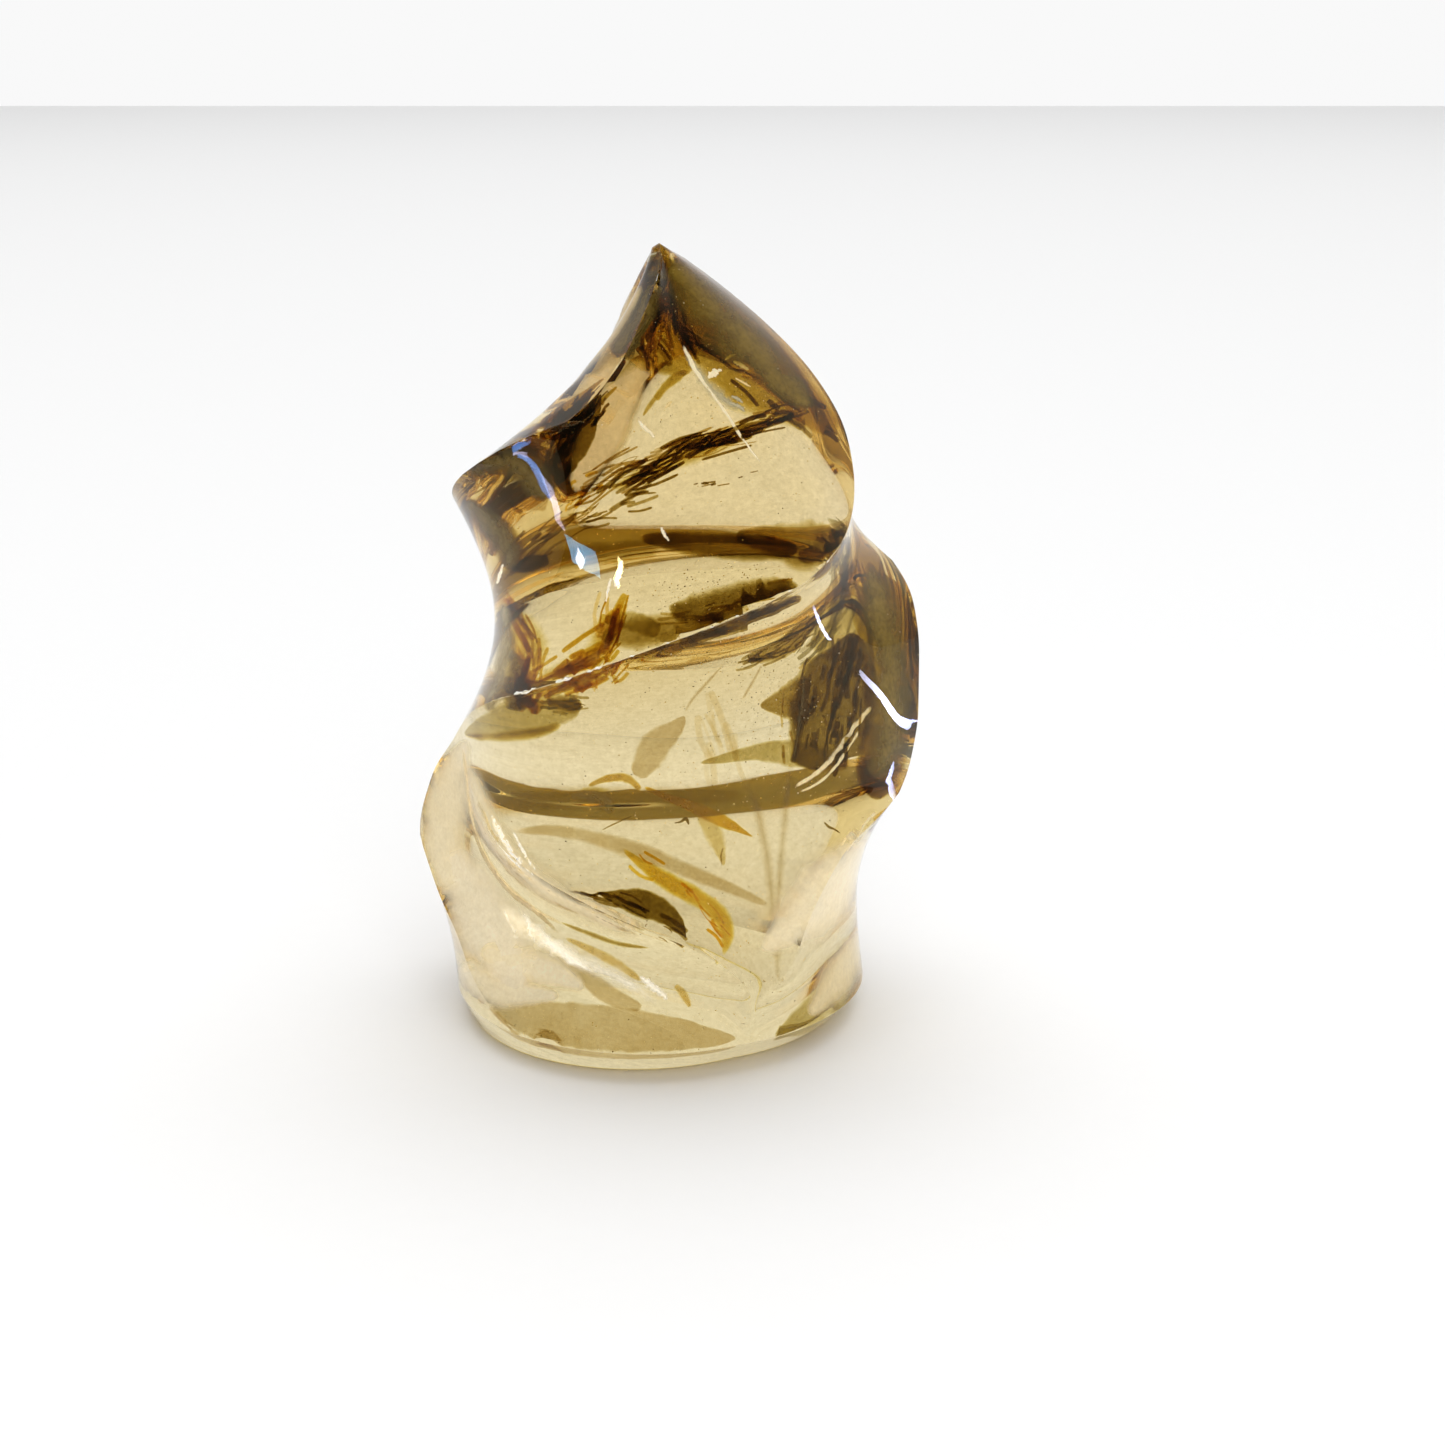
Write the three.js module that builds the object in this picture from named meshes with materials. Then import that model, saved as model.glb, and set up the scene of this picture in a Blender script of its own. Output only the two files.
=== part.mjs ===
// A free-standing flame carved and polished from one piece of smoky quartz.
// Millimetres, +Z up, front towards -Y. The flat underside rests on z = 0.
// Sharp ridges wind down from the tip, and a hollow flute lies between each two.
// Every ridge is a short list of [height, azimuth in degrees from the front, radius].
import * as THREE from "three";

const HEIGHT = 95;
const GIRTH_Z = 3.8; // the sharp edge above the bevel of the foot
const FOOT_INSET = [4.5, 1.2]; // how far the bevel draws in: front right, back left

// The leading ridge: behind the right shoulder at the tip, across the front, down the left side.
const LEAD = [
  [95, 150, 0],
  [93, 140, 4.4],
  [88.5, 124, 10.3],
  [82.7, 108, 15.9],
  [78.6, 98, 19],
  [73.2, 89, 21.9],
  [68, 82, 23.1],
  [64.2, 71, 23.6],
  [59.5, 46, 24.4],
  [56.3, 20, 25],
  [52.5, -5, 25],
  [48, -30, 25],
  [43.5, -56, 24.4],
  [40, -73, 24.2],
  [36.5, -84, 25.2],
  [30, -91, 28.7],
  [23, -90, 30.4],
  [18.5, -84, 28.9],
  [13.5, -69, 27],
  [9, -63, 26.2],
  [6, -54, 25.8],
  [3.8, -41, 25.5],
  [0, -36, 25],
];

// The scoop ridge: leaves the leading ridge at the left and slants down across the front.
const SCOOP_TOP = 37;
const SCOOP = [
  [37, -79, 24.6],
  [34.4, -76, 24.6],
  [32.5, -72, 24.5],
  [30, -60, 24.8],
  [27, -50, 25],
  [24, -30, 25],
  [20.6, -9, 25],
  [16.8, 11, 25],
  [12.5, 22.5, 25],
  [10, 25.5, 24.9],
  [3.8, 26, 23.6],
  [0, 26, 23],
];

// The right ridge: from behind the tip to the right side, then forward to the foot.
const RIGHT = [
  [95, 195, 0],
  [93, 184, 3.4],
  [88, 158, 8.8],
  [82, 136, 14.4],
  [76, 122, 19],
  [70, 113, 22],
  [66, 109.5, 22.7],
  [63, 107, 23.2],
  [60, 104, 24.9],
  [58, 101.5, 26.7],
  [56, 99, 28.8],
  [52, 93, 30.6],
  [46, 90, 31.3],
  [39, 88, 31.3],
  [33, 86, 30.5],
  [30, 78, 29.4],
  [28, 64, 27.8],
  [25.6, 55, 26.5],
  [19.2, 43, 26],
  [13, 37, 25.5],
  [10, 29, 24.8],
  [8, 27.4, 24.4],
  [3.8, 27, 23.6],
  [0, 27, 23],
];

// The left ridge: down the front of the tip to the left corner, then round the back.
const LEFT = [
  [95, 10, 0],
  [93, 4, 2.8],
  [88, -12, 7.4],
  [84, -18, 10.8],
  [80.5, -25, 14],
  [77, -33, 17.6],
  [74.5, -48, 21],
  [71.5, -60, 23.6],
  [65.7, -88, 24.9],
  [60, -112, 25],
  [55, -135, 25.5],
  [50, -160, 26],
  [45, -185, 26.5],
  [40, -210, 27.5],
  [35, -238, 30.6],
  [31, -251, 32.7],
  [28, -254, 32],
  [25, -255, 29.5],
  [22, -254, 27],
  [18, -252, 25.2],
  [8, -250, 26],
  [0, -248, 25.4],
];

// The back ridge: leaves the left ridge behind the waist and runs down to the foot.
const BACK_TOP = 52;
const BACK = [
  [52, -144, 24.8],
  [46, -138, 25.4],
  [40, -131, 27],
  [30, -126, 30.2],
  [20, -124, 31.2],
  [12, -125, 29.4],
  [6, -126, 27.4],
  [0, -128, 26],
];

// How strongly each flute is hollowed, as [height, pull]. A pull below zero swells it out.
const PULL = {
  face: [
    [95, 0],
    [80, 0.005],
    [68, 0.012],
    [59, 0.038],
    [50, 0.073],
    [41, 0.06],
    [26, 0],
    [14, 0.02],
    [0, 0.02],
  ],
  scoop: [
    [40, 0.06],
    [25, 0.08],
    [5, 0.06],
  ],
  belly: [
    [95, 0],
    [80, 0.04],
    [62, 0.09],
    [50, 0.03],
    [36, 0.03],
    [20, 0.02],
    [0, 0],
  ],
  right: [
    [95, 0.02],
    [84, 0.06],
    [72, 0.075],
    [60, 0.05],
    [36, 0.04],
    [20, 0.06],
    [8, 0.02],
    [0, 0],
  ],
  back: [
    [52, 0.05],
    [30, 0.05],
    [15, 0.05],
    [0, 0.02],
  ],
};

// The right flute turns round the rear of the tip. There it swells out, then dips to a deep
// hollow above the left ridge, and only its last part, by the left side, follows PULL.
// The heights are those straight behind: to either side they follow the slope of that ridge.
const REAR_PULL = [
  [42, 0.1],
  [50, 0.15],
  [58, 0.12],
  [64, -0.02],
  [70, -0.045],
  [84, -0.04],
  [95, 0],
];
const REAR_Z = 47; // the height of the left ridge straight behind
const REAR_SIDE = [216, 262]; // the azimuths over which the rear turns into the left side
const REAR_START = [36, 42]; // the heights over which the rear grows out of the flute

// A soft ledge runs nearly level across the back flute: a deep hollow over a swell, as
// [height straight behind, pull added].
const LEDGE_PULL = [
  [36, 0],
  [30.5, 0.08],
  [27.1, 0.24],
  [24.1, -0.03],
  [21.1, -0.24],
  [17.2, -0.07],
  [10, 0],
];
const LEDGE_MIDDLE = 170; // the azimuth where the heights above hold
const LEDGE_FALL = 0.04; // millimetres that it falls for each degree round to the left
const LEDGE_START = [112, 126]; // the azimuths over which it grows out of the flute
const LEDGE_END = [205, 232]; // the azimuths over which it fades again

const REACH = 25; // the radius that turns an angle into a distance round the stone

const STEPS = { face: 18, scoop: 9, belly: 17, right: 16, back: 13 };

// A smooth curve through [height, value] points that never overshoots them.
function curve(points, column) {
  const p = points.map((q) => [q[0], q[column]]).sort((a, b) => a[0] - b[0]);
  const n = p.length;
  const rise = (i) => (p[i + 1][1] - p[i][1]) / (p[i + 1][0] - p[i][0]);
  const slope = p.map((q, i) => {
    if (i === 0) return rise(0);
    if (i === n - 1) return rise(n - 2);
    const a = rise(i - 1);
    const b = rise(i);
    return a * b <= 0 ? 0 : (2 * a * b) / (a + b);
  });
  return (z) => {
    if (z <= p[0][0]) return p[0][1];
    if (z >= p[n - 1][0]) return p[n - 1][1];
    let i = 0;
    while (z > p[i + 1][0]) i += 1;
    const h = p[i + 1][0] - p[i][0];
    const t = (z - p[i][0]) / h;
    const t2 = t * t;
    const t3 = t2 * t;
    return (
      (2 * t3 - 3 * t2 + 1) * p[i][1] +
      (t3 - 2 * t2 + t) * h * slope[i] +
      (3 * t2 - 2 * t3) * p[i + 1][1] +
      (t3 - t2) * h * slope[i + 1]
    );
  };
}

function ridge(points) {
  const angle = curve(points, 1);
  const radius = curve(points, 2);
  return (z) => ({ a: angle(z), r: radius(z) });
}

// A ridge that only exists below its branch height. Above it, its column lies on the
// flute just beside the parent ridge.
function branch(points, top, parent, beside, drop) {
  const own = ridge(points);
  return (z) => {
    if (z <= top) return own(z);
    const p = parent(z);
    const fade = Math.min(1, (z - top) / 6);
    const o = own(top);
    const q = parent(top);
    return {
      a: p.a + beside * fade + (o.a - q.a) * (1 - fade),
      r: p.r - drop * fade + (o.r - q.r) * (1 - fade),
    };
  };
}

const lead = ridge(LEAD);
const right = ridge(RIGHT);
const left = ridge(LEFT);
const scoop = branch(SCOOP, SCOOP_TOP, lead, 4, 0.5);
const back = branch(BACK, BACK_TOP, left, 5, 0.7);
const NAMES = ["scoop", "belly", "right", "back", "face"];
const pull = Object.fromEntries(NAMES.map((name) => [name, curve(PULL[name], 1)]));

// The left ridge as a height for an azimuth, down to where it starts to turn back.
const LEFT_TURN = 31;
const leftHeight = curve(
  LEFT.filter(([z]) => z >= LEFT_TURN).map(([z, a]) => [a, z]),
  1,
);
const rear = curve(REAR_PULL, 1);
const ledge = curve(LEDGE_PULL, 1);
const { lerp, smoothstep } = THREE.MathUtils;

// The pull at a height and an azimuth of the flute of that name.
function pullAt(name, z, a) {
  const plain = pull[name](z);
  if (name === "back") {
    const here = smoothstep(a, ...LEDGE_START) * (1 - smoothstep(a, ...LEDGE_END));
    return plain + ledge(z + (a - LEDGE_MIDDLE) * LEDGE_FALL) * here;
  }
  if (name === "right") {
    const side = smoothstep(a, ...REAR_SIDE);
    const low = 1 - smoothstep(z, ...REAR_START);
    return lerp(rear(z - leftHeight(a - 360) + REAR_Z), plain, Math.max(side, low));
  }
  return plain;
}

// One ring of points at a height: from the leading ridge round by the right and the back.
// The points on a ridge are fixed, and those between start on a straight blend.
function ring(z) {
  const turn = (p) => ({ a: p.a + 360, r: p.r });
  const stops = [lead(z), scoop(z), right(z), turn(left(z)), turn(back(z)), turn(lead(z))];
  const sharp = [true, z <= SCOOP_TOP, true, true, z <= BACK_TOP];
  const out = [];
  NAMES.forEach((name, k) => {
    for (let i = 0; i < STEPS[name]; i += 1) {
      const t = i / STEPS[name];
      const a = stops[k].a + (stops[k + 1].a - stops[k].a) * t;
      out.push({
        z,
        a,
        r: stops[k].r + (stops[k + 1].r - stops[k].r) * t,
        pull: pullAt(name, z, a),
        fixed: i === 0 && sharp[k],
      });
    }
  });
  return out;
}

// The corners of each triangle between two rings, split along the shorter diagonal.
function triangles(rings) {
  const n = rings[0].length;
  const out = [];
  const apart = (p, q) => {
    const a = THREE.MathUtils.degToRad(p.a - q.a);
    return Math.hypot(p.z - q.z, Math.sqrt(Math.max(0, p.r * q.r)) * 2 * Math.sin(a / 2), p.r - q.r);
  };
  for (let k = 0; k + 1 < rings.length; k += 1) {
    for (let i = 0; i < n; i += 1) {
      const j = (i + 1) % n;
      const [a, b, c, d] = [k * n + i, (k + 1) * n + i, (k + 1) * n + j, k * n + j];
      const short = apart(rings[k][i], rings[k + 1][j]) <= apart(rings[k + 1][i], rings[k][j]);
      if (short) out.push([a, b, c], [a, c, d]);
      else out.push([a, b, d], [b, c, d]);
    }
  }
  return out;
}

// Draws each flute taut between its ridges, like a sheet of rubber with a steady pull
// inwards, so that the polished faces run smoothly and only the ridges are sharp.
function stretch(rings) {
  const points = rings.flat();
  const n = rings[0].length;
  const x = (p) => THREE.MathUtils.degToRad(p.a) * REACH;
  const near = points.map(() => new Map());
  const load = points.map(() => 0);
  const full = 2 * Math.PI * REACH;
  triangles(rings).forEach((corners) => {
    const p = corners.map((c) => points[c]);
    const gap = (i, j) => {
      const d = x(p[j]) - x(p[i]);
      return [d - full * Math.round(d / full), p[j].z - p[i].z];
    };
    const [ux, uz] = gap(0, 1);
    const [vx, vz] = gap(0, 2);
    const area = Math.abs(ux * vz - uz * vx) / 2;
    for (let i = 0; i < 3; i += 1) {
      const [j, k] = [(i + 1) % 3, (i + 2) % 3];
      const [ax, az] = gap(i, j);
      const [bx, bz] = gap(i, k);
      const w = (ax * bx + az * bz) / (4 * area);
      const add = (from, to) => near[from].set(to, (near[from].get(to) ?? 0) + w);
      add(corners[j], corners[k]);
      add(corners[k], corners[j]);
      load[corners[i]] += (area / 3) * p[i].pull;
    }
  });
  const links = near.map((m) => [...m]);
  for (let pass = 0; pass < 1500; pass += 1) {
    points.forEach((p, i) => {
      if (p.fixed || i < n || i >= points.length - n) return;
      let sum = -load[i];
      let weight = 0;
      for (const [j, w] of links[i]) {
        sum += w * points[j].r;
        weight += w;
      }
      p.r += 1.6 * (sum / weight - p.r);
    });
  }
}

// The bevel is widest at the front right.
function inset(angle) {
  const share = 0.5 + 0.5 * Math.cos(THREE.MathUtils.degToRad(angle - 25));
  return FOOT_INSET[1] + (FOOT_INSET[0] - FOOT_INSET[1]) * share ** 2;
}

// Ring heights: closer together where the ridges run nearly level.
function heights() {
  const out = [];
  const span = (from, to, step) => {
    for (let z = from; z > to + 1e-6; z -= step) out.push(z);
  };
  span(94.5, 93, 0.75);
  span(93, 66, 1.8);
  span(66, 24, 1.2);
  span(24, GIRTH_Z + 0.6, 1.5);
  return [...out, GIRTH_Z];
}

function flame() {
  const rings = heights().map(ring);
  stretch(rings);
  const girth = rings[rings.length - 1];
  rings.push(girth.map((p) => ({ ...p, r: p.r - inset(p.a), z: 0 })));
  const n = girth.length;
  const positions = [];
  rings.flat().forEach((p) => {
    const a = THREE.MathUtils.degToRad(p.a);
    positions.push(p.r * Math.sin(a), -p.r * Math.cos(a), p.z);
  });
  positions.push(0, 0, HEIGHT, 0, 0, 0);
  const last = (rings.length - 1) * n;
  const tip = rings.length * n;
  const index = triangles(rings).flat();
  for (let i = 0; i < n; i += 1) {
    const j = (i + 1) % n;
    index.push(tip, i, j, last + j, last + i, tip + 1);
  }
  const geometry = new THREE.BufferGeometry();
  geometry.setAttribute("position", new THREE.Float32BufferAttribute(positions, 3));
  geometry.setIndex(index);
  geometry.computeBoundingBox();
  const middle = geometry.boundingBox.getCenter(new THREE.Vector3());
  geometry.translate(-middle.x, -middle.y, 0);
  geometry.computeVertexNormals();
  return geometry;
}

const group = new THREE.Group();
const quartz = new THREE.MeshStandardMaterial({
  color: 0xc8b48c,
  roughness: 0.05,
  metalness: 0,
});
const mesh = new THREE.Mesh(flame(), quartz);
mesh.name = "flame";
group.add(mesh);

export default group;
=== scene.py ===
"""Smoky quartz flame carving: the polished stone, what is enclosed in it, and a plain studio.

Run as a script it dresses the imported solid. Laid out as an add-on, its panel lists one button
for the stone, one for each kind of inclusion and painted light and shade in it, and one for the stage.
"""
import math
import random

import bmesh
import bpy
from bpy.props import FloatProperty, FloatVectorProperty, IntProperty, PointerProperty
from mathutils import Matrix, Vector, noise
from mathutils.bvhtree import BVHTree


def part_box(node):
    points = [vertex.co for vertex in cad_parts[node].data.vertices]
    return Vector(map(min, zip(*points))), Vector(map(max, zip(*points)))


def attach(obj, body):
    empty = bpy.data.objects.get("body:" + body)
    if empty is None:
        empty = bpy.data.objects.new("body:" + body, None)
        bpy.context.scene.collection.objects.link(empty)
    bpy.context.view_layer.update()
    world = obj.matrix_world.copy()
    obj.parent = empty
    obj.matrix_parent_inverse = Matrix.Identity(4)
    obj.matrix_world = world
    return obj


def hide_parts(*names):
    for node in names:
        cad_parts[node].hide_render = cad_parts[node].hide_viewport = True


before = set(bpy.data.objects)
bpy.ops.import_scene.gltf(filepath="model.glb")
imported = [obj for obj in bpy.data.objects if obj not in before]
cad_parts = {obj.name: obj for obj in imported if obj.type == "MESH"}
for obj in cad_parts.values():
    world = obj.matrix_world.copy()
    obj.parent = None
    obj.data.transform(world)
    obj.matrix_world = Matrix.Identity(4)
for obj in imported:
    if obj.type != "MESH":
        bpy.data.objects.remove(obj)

bl_info = {
    "name": "Smoky quartz flame",
    "version": (1, 0, 0),
    "blender": (4, 5, 0),
    "location": "View3D > Sidebar > Quartz flame",
    "description": "Builds a polished smoky quartz flame with its inclusions and a studio",
    "category": "Object",
}

NODE = "flame"
BODY = "root"
MM = 0.001
STONE_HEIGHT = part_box(NODE)[1].z
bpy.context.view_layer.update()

# The front view. Places in it are given across and down from its top left corner, in parts.
VIEW_PARTS = 1445  # from side to side, and from top to bottom
SENSOR = 36.0
LENS = 57.76
CAMERA_TILT = math.radians(17)
CAMERA_REACH = 0.285
CAMERA_AIM = Vector((0.006873, -0.000717, 0.03703))
VIEW_FORWARD = Vector((0, math.cos(CAMERA_TILT), -math.sin(CAMERA_TILT)))
VIEW_RIGHT = Vector((1, 0, 0))
VIEW_UP = Vector((0, math.sin(CAMERA_TILT), math.cos(CAMERA_TILT)))
CAMERA_AT = CAMERA_AIM - VIEW_FORWARD * CAMERA_REACH
FOCAL = VIEW_PARTS * LENS / SENSOR
HEART = (690, 680)  # the middle of the stone


# ---------------------------------------------------------------- settings

def colour(name, description, default):
    return FloatVectorProperty(name=name, description=description, default=default,
                               size=3, min=0, max=1, subtype="COLOR")


def length(name, description, default):
    return FloatProperty(name=name, description=description, default=default, min=0,
                         subtype="DISTANCE", unit="LENGTH")


def share(name, description, default):
    return FloatProperty(name=name, description=description, default=default, min=0, max=1, subtype="FACTOR")


def number(name, description, default):
    return FloatProperty(name=name, description=description, default=default, min=0)


class StoneSettings(bpy.types.PropertyGroup):
    crease_angle: FloatProperty(name="Crease angle", description="Edges sharper than this stay crisp",
                                default=math.radians(14), subtype="ANGLE")
    smooth_angle: FloatProperty(name="Smooth angle", description="Faces flatter than this shade as one",
                                default=math.radians(12), subtype="ANGLE")
    rounds: IntProperty(name="Subdivision", description="Rounds of subdivision", default=2, min=0, max=2)
    ior: number("IOR", "Refractive index of quartz", 1.544)
    absorbed: colour("Colour passed", "Colour that the body of the stone lets through", (0.88, 0.72, 0.15))
    density: number("Absorption density", "Absorption per metre", 18.5)
    top_tint: colour("Top tint", "Surface tint of the smoky top", (0.89, 0.75, 0.47))
    foot_tint: colour("Foot tint", "Surface tint of the clear foot", (1.0, 0.99, 0.97))
    # The underside's brown is painted shade: it darkens the floor seen through the foot, standing in for the
    # shade beneath the stone.
    underside_shade_tint: colour("Ground tint", "Brown of the ground underside", (0.84, 0.73, 0.28))
    dusty_tint: colour("Dusty tint", "Darkest tint of the finest mottling", (0.80, 0.78, 0.72))
    grain: number("Grain", "Patterns per metre of the finest mottling", 1500.0)
    drift: number("Drift", "Patterns per metre of the drift between smoky and clear", 45.0)
    wave: number("Wave", "Patterns per metre of the waviness of the polish", 90.0)
    wave_depth: length("Wave depth", "How deep the waviness of the polish is", 0.00006)
    gleam: colour("Gleam", "Tint of what the face of the polish throws back", (0.60, 0.50, 0.25))


class SpeckSettings(bpy.types.PropertyGroup):
    count: IntProperty(name="Count", description="How many specks the stone holds", default=5000, min=1)
    grain: length("Grain", "Half the length of a middling speck", 0.00006)
    gathered: share("Gathered", "Share of the specks that lie in the clouds of dust", 0.45)
    glint: share("Glint", "Light that a speck seems to give", 0.25)


class StageSettings(bpy.types.PropertyGroup):
    floor_colour: colour("Floor colour", "Matt pale floor", (0.89, 0.89, 0.89))
    floor_size: length("Floor size", "From side to side of the floor", 6.0)
    floor_gap: length("Gap under the foot", "Keeps light passing under the stone", 0.0002)
    room: number("Room light", "Strength of the even light of the room", 0.95)
    room_dim: share("Room dimming", "How bright the camera side of the room is", 0.12)
    wall_light: share("Wall light", "How bright the bright wall is", 0.4)
    wall_side: FloatVectorProperty(name="Bright wall", description="Direction of the bright wall",
                                   default=(0.80, -0.59, 0.08), size=3, subtype="DIRECTION")


# ---------------------------------------------------------------- small tools

def alone(obj):
    """Leaves obj the only selected and active object."""
    bpy.ops.object.select_all(action="DESELECT")
    obj.select_set(True)
    bpy.context.view_layer.objects.active = obj
    return obj


def new_material(name):
    """An empty node tree with its output node."""
    material = bpy.data.materials.new(name)
    material.use_nodes = True
    tree = material.node_tree
    tree.nodes.clear()
    output = tree.nodes.new("ShaderNodeOutputMaterial")
    return material, tree, output


def feed(tree, socket, value):
    """Links a socket to another one, or sets it to a plain number or colour."""
    if isinstance(value, bpy.types.NodeSocket):
        tree.links.new(value, socket)
    elif socket.type == "RGBA":
        socket.default_value = (*value, 1)
    else:
        socket.default_value = value


def add_node(tree, kind, **sockets):
    """A shader node with its named sockets fed."""
    node = tree.nodes.new("ShaderNode" + kind)
    for name, value in sockets.items():
        feed(tree, node.inputs[name.replace("_", " ")], value)
    return node


def ramp(tree, source, *stops):
    """A colour ramp on source with (position, colour) stops."""
    node = tree.nodes.new("ShaderNodeValToRGB")
    while len(node.color_ramp.elements) < len(stops):
        node.color_ramp.elements.new(0.5)
    for element, (place, tint) in zip(node.color_ramp.elements, stops):
        element.position = place
        element.color = (*tint, 1)
    tree.links.new(source, node.inputs[0])
    return node.outputs["Color"]


def calculate(tree, operation, *values):
    """A math node whose inputs are numbers or sockets."""
    node = tree.nodes.new("ShaderNodeMath")
    node.operation = operation
    for socket, value in zip(node.inputs, values):
        feed(tree, socket, value)
    return node.outputs[0]


def blend_colours(tree, factor, first, second, way="MIX"):
    """Mixes two colours, each a socket or a plain colour."""
    node = tree.nodes.new("ShaderNodeMix")
    node.data_type = "RGBA"
    node.blend_type = way
    for socket, value in ((node.inputs[0], factor), (node.inputs[6], first), (node.inputs[7], second)):
        feed(tree, socket, value)
    return node.outputs[2]


def noise_at(tree, place, scale, detail=3.0, roughness=0.55):
    """Noise from 0 to 1 on the coordinates place, in patterns per metre."""
    node = add_node(tree, "TexNoise", Vector=place, Scale=scale, Detail=detail, Roughness=roughness)
    return node.outputs["Fac"]


def centred_noise(tree, place, scale, detail, roughness=0.55):
    """Noise about 0 on the coordinates place, in patterns per metre."""
    return calculate(tree, "SUBTRACT", noise_at(tree, place, scale, detail, roughness), 0.5)


# ---------------------------------------------------------------- the stone

def blend(first, second, amount):
    """A colour between two others."""
    return tuple(a + (b - a) * amount for a, b in zip(first, second))


def quartz_material(settings):
    """Clear quartz, smoky towards the top, with the faint waviness of hand polishing."""
    material, tree, output = new_material("smoky_quartz")
    place = add_node(tree, "TexCoord").outputs["Object"]
    up = add_node(tree, "SeparateXYZ", Vector=place).outputs["Z"]
    drift = calculate(tree, "MULTIPLY", centred_noise(tree, place, settings.drift, 2.0), 0.35)
    height = calculate(tree, "ADD", calculate(tree, "DIVIDE", up, STONE_HEIGHT), drift)
    middle_tint = blend(settings.foot_tint, settings.top_tint, 0.35)
    smoke = ramp(tree, height, (0.15, settings.foot_tint), (0.42, middle_tint), (0.85, settings.top_tint))
    grain = noise_at(tree, place, settings.grain, detail=2.0, roughness=0.8)
    speckle = ramp(tree, grain, (0.3, settings.dusty_tint), (0.7, (1.0, 1.0, 1.0)))
    # Painted shade: the underside is tinted brown, for the shade of the floor seen through the foot.
    underside = calculate(tree, "LESS_THAN", up, 0.1 * MM)
    tint = blend_colours(tree, underside, blend_colours(tree, 1.0, smoke, speckle, "MULTIPLY"),
                         settings.underside_shade_tint)
    wave = noise_at(tree, place, settings.wave, detail=1.0)
    bump = add_node(tree, "Bump", Strength=0.5, Distance=settings.wave_depth, Height=wave)
    glass = add_node(tree, "BsdfPrincipled", Base_Color=tint, Roughness=0.0, IOR=settings.ior,
                     Transmission_Weight=1.0, Specular_Tint=settings.gleam, Normal=bump.outputs["Normal"])
    body = add_node(tree, "VolumeAbsorption", Color=settings.absorbed, Density=settings.density)
    tree.links.new(glass.outputs[0], output.inputs["Surface"])
    tree.links.new(body.outputs[0], output.inputs["Volume"])
    return material


class FLAME_OT_stone(bpy.types.Operator):
    """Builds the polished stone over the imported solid: soft flutes between crisp ridges"""
    bl_idname = "flame.stone"
    bl_label = "Stone"

    def execute(self, context):
        settings = context.scene.flame_stone
        stone = bpy.data.objects.new("flame_stone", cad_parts[NODE].data.copy())
        context.scene.collection.objects.link(stone)
        alone(stone)
        bpy.ops.object.mode_set(mode="EDIT")
        bpy.ops.mesh.select_all(action="SELECT")
        bpy.ops.mesh.remove_doubles(threshold=2e-6)
        bpy.ops.mesh.tris_convert_to_quads(face_threshold=math.radians(20), shape_threshold=math.pi)
        bpy.ops.mesh.select_all(action="DESELECT")
        bpy.ops.mesh.select_mode(type="EDGE")
        bpy.ops.mesh.edges_select_sharp(sharpness=settings.crease_angle)
        bpy.ops.transform.edge_crease(value=1.0)
        bpy.ops.object.mode_set(mode="OBJECT")
        surface = stone.modifiers.new("polish", "SUBSURF")
        surface.levels = surface.render_levels = settings.rounds
        bpy.ops.object.modifier_apply(modifier="polish")
        bpy.ops.object.shade_smooth_by_angle(angle=settings.smooth_angle)
        stone.data.materials.clear()
        stone.data.materials.append(quartz_material(settings))
        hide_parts(NODE)
        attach(stone, BODY)
        return {"FINISHED"}


# ---------------------------------------------------------------- enclosed in the stone, with painted light and shade
# Lines are drawn in the front view: across, down and half the width there, in its parts. Each body
# lies on the sight line through its point, bent by the stone's surface, some millimetres below
# that surface. A softness is the share of the half-width over which the body fades at its edges.

# The darkest brown serves both the smoky colour and the painted shade of the dark bands.
SMOKE_AND_SHADE = (0.20, 0.125, 0.015)
BROWN = (0.36, 0.25, 0.05)
OCHRE = (0.48, 0.34, 0.05)
OLIVE = (0.56, 0.47, 0.19)
TAN = (0.68, 0.58, 0.37)
PALE = (0.80, 0.73, 0.55)

# Brown films, partly the stone's own smoky colour and partly painted shade: the bands, lenses and dark right
# body stand in for the dark that refraction and total internal reflection show through the clear stone.
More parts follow.
